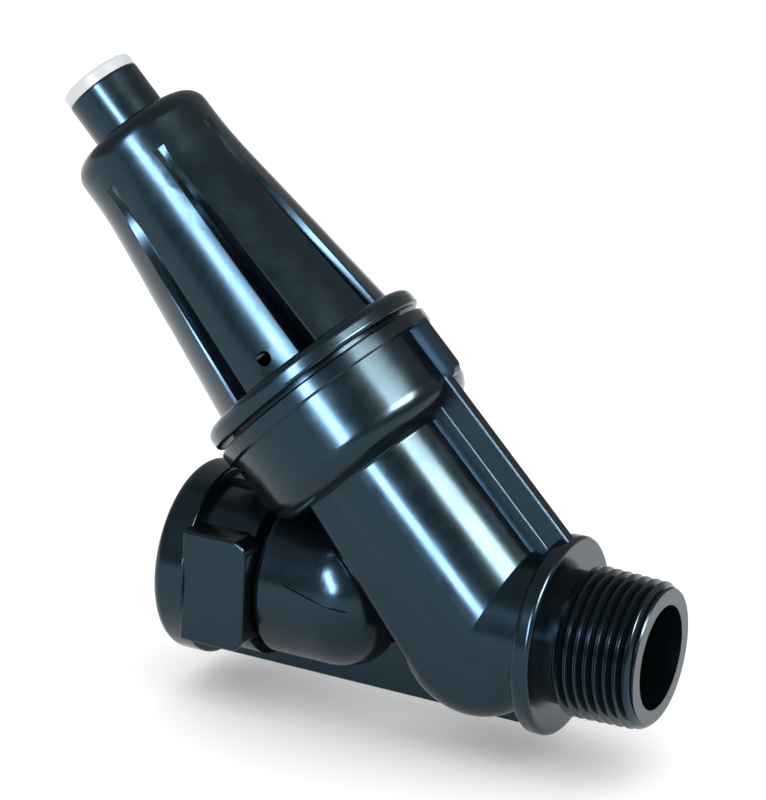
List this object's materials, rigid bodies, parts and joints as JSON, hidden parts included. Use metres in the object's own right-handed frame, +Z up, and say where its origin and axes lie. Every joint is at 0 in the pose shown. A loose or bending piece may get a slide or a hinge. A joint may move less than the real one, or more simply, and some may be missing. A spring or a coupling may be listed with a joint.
{
  "type": "y strainer",
  "caption": "Screwed Y-pattern strainer and pressure regulator: moulded housing, fluted spring bonnet, sliding cartridge, mesh screen and end cap.",
  "frame": {"origin": "centre of the outlet end, on the run axis", "axes": "+X along the run, out of the outlet, the way the water flows; +Z up; the branch leans back from +Z towards -X at 45 degrees"},
  "size_m": [0.1208, 0.044, 0.1077],
  "materials": {
    "moulded_body": "glossy black moulding",
    "moulded_bonnet": "glossy black moulding",
    "white_cap": "plain white moulding",
    "steel": "turned",
    "spring_steel": "drawn wire",
    "screen_steel": "perforated sheet",
    "brass": "turned",
    "cartridge_plastic": "natural moulding",
    "bearing_plastic": "natural sheet",
    "seal_rubber": "moulded"
  },
  "bodies": {
    "housing": {"body": "moulded_body", "bonnet": "moulded_bonnet", "thrust_washer": "bearing_plastic", "cartridge_head": "cartridge_plastic", "head_seal": "seal_rubber", "stem_seal": "seal_rubber", "slip_washer": "bearing_plastic", "bonnet_seal": "seal_rubber", "seat_ring": "brass", "seat_seal": "seal_rubber", "screen_cage": "cartridge_plastic", "strainer_screen": "screen_steel", "range_spring": "spring_steel"},
    "spindle": {"stem": "steel", "piston": "cartridge_plastic", "piston_seal": "seal_rubber", "piston_nut": "brass", "plug": "brass", "seat_disc": "seal_rubber", "plug_nut": "brass"},
    "screw": {"adjusting_screw": "steel", "screw_clip": "steel"},
    "follower": {"spring_follower": "brass"},
    "end_cap": {"cap": "white_cap"}
  },
  "joints": [
    {"name": "spindle_slide", "type": "slide", "parent": "housing", "child": "spindle", "axis": [-0.7071, 0, 0.7071], "range_m": [0, 0.00295], "stiffness_N_per_m": 14000, "deforming": ["range_spring"]},
    {"name": "screw_turn", "type": "hinge", "parent": "housing", "child": "screw", "pos_m": [-0.0309, 0, 0], "axis": [-0.7071, 0, 0.7071], "range_deg": [-1080, 1080]},
    {"name": "follower_slide", "type": "slide", "parent": "housing", "child": "follower", "axis": [-0.7071, 0, 0.7071], "range_m": [-0.006, 0.006]},
    {"name": "cap_pull", "type": "slide", "parent": "housing", "child": "end_cap", "axis": [-0.7071, 0, 0.7071], "range_m": [0, 0.012]}
  ],
  "couplings": [
    {"joint": "follower_slide", "follows": "screw_turn", "m_per_rad": 0.00031831}
  ]
}
